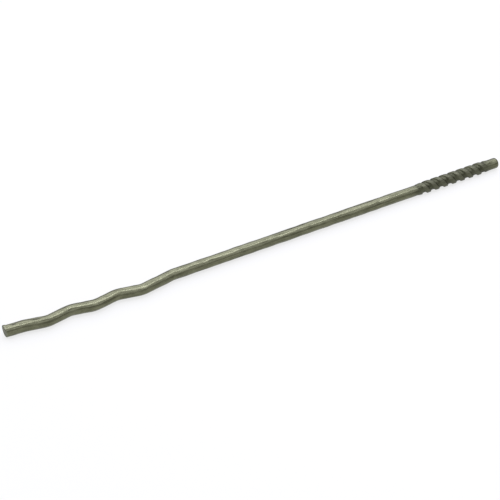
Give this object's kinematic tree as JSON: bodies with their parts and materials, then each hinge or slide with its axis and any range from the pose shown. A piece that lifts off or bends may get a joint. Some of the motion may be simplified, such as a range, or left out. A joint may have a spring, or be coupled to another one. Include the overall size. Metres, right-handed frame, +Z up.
{
  "type": "masonry wall tie",
  "caption": "Round wire wall tie with a wavy end for a mortar joint, a straight shank and a coarse rolled thread with a plain nose for a wall plug.",
  "frame": {"origin": "on the surface that the tie lies on, under the axis of the shank at the middle of the tie's length", "axes": "+X along the shank towards the threaded tip, +Z up, the bows of the wave towards -Y"},
  "size_m": [0.2003, 0.0066, 0.0046],
  "materials": {
    "drawn_steel": "dull drawn steel wire with fine lengthwise draw marks"
  },
  "bodies": {
    "root": {"wall_tie": "drawn_steel"}
  },
  "joints": []
}
